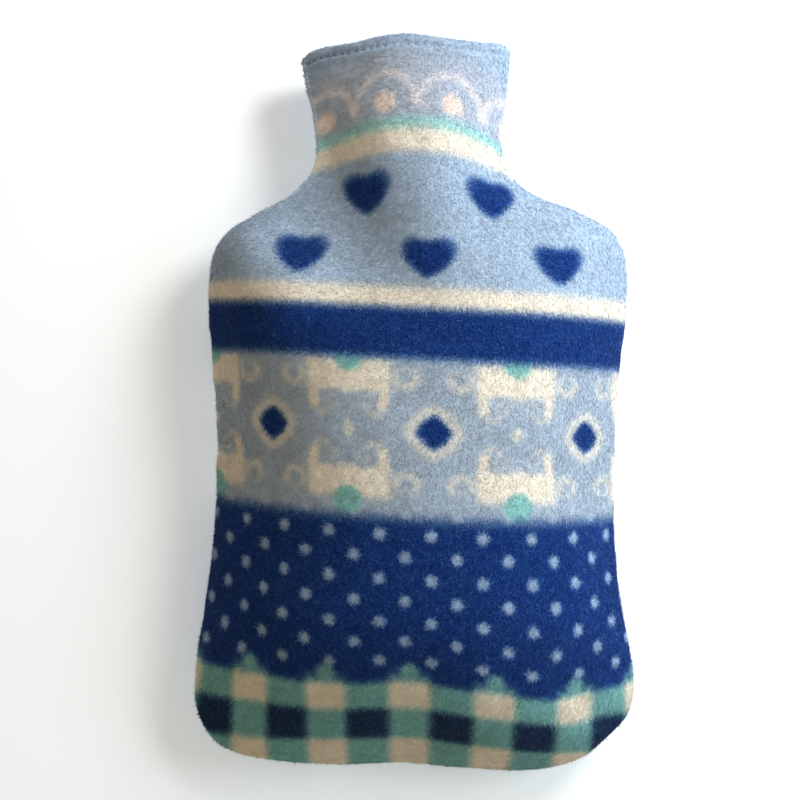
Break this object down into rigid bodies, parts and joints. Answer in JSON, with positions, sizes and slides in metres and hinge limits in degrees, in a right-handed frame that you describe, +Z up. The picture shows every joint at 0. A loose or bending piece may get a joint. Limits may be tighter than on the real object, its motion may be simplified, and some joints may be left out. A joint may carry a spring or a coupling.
{
  "type": "hot water bottle cover",
  "caption": "Printed fleece cover for a hot water bottle: a plump pouch with shoulders, a narrow neck and an open mouth with a turned hem.",
  "frame": {"origin": "on the surface the cover lies on, under the middle of its outline's box", "axes": "+X across the cover to its right seam, +Y along it to the mouth, +Z up through the front panel"},
  "size_m": [0.2042, 0.335, 0.0624],
  "materials": {
    "printed_fleece": "matt brushed polar fleece, printed in blue, pale blue, cream and mint"
  },
  "bodies": {
    "root": {"front_panel": "printed_fleece", "back_panel": "printed_fleece"}
  },
  "joints": []
}
